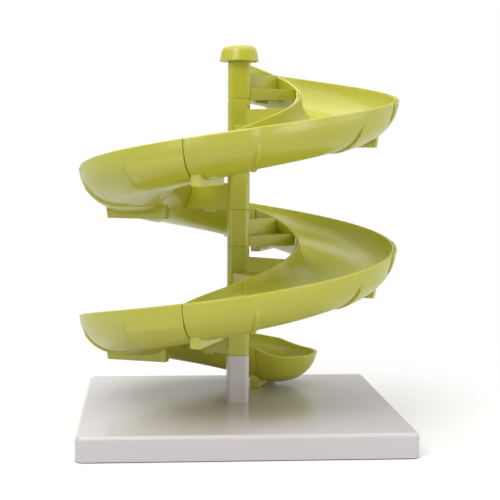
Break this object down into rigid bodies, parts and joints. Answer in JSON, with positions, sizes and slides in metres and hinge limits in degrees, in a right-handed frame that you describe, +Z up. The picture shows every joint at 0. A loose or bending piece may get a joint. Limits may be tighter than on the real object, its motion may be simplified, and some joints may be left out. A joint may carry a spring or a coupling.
{
  "type": "rolling egg dispenser",
  "caption": "Helical U-shaped track of plug-together quarter turns on a square post and a flat square base; eggs roll down it to a closed end cup.",
  "frame": {"origin": "middle of the underside, on the surface that the dispenser stands on", "axes": "+Z up along the post, -Y towards the front, +X to the right; the end cup is at the back right"},
  "size_m": [0.2148, 0.2148, 0.2576],
  "materials": {
    "green_plastic": "lime green moulded plastic, satin to gloss",
    "white_plastic": "glossy white moulded plastic",
    "grey_rubber": "soft matt non-slip pad",
    "plated_steel": "zinc plated"
  },
  "bodies": {
    "stand": {"base_shell": "white_plastic", "foot_post": "white_plastic", "foot_screw": "plated_steel", "foot_pad_1": "grey_rubber", "foot_pad_2": "grey_rubber", "foot_pad_3": "grey_rubber", "foot_pad_4": "grey_rubber"},
    "tower": {"trough_section_1": "green_plastic", "post_bracket_1": "green_plastic", "trough_section_2": "green_plastic", "post_bracket_2": "green_plastic", "trough_section_3": "green_plastic", "post_bracket_3": "green_plastic", "trough_section_4": "green_plastic", "post_bracket_4": "green_plastic", "trough_section_5": "green_plastic", "post_bracket_5": "green_plastic", "trough_section_6": "green_plastic", "post_bracket_6": "green_plastic", "trough_section_7": "green_plastic", "post_bracket_7": "green_plastic", "trough_section_8": "green_plastic", "post_bracket_8": "green_plastic"},
    "cup": {"end_cup": "green_plastic"},
    "cap": {"top_cap": "green_plastic"}
  },
  "joints": [
    {"name": "tower_lift", "type": "slide", "parent": "stand", "child": "tower", "axis": [0, 0, 1], "range_m": [0, 0.02]},
    {"name": "cup_lift", "type": "slide", "parent": "tower", "child": "cup", "axis": [0, 0, 1], "range_m": [0, 0.03]},
    {"name": "cap_lift", "type": "slide", "parent": "tower", "child": "cap", "axis": [0, 0, 1], "range_m": [0, 0.012]}
  ]
}
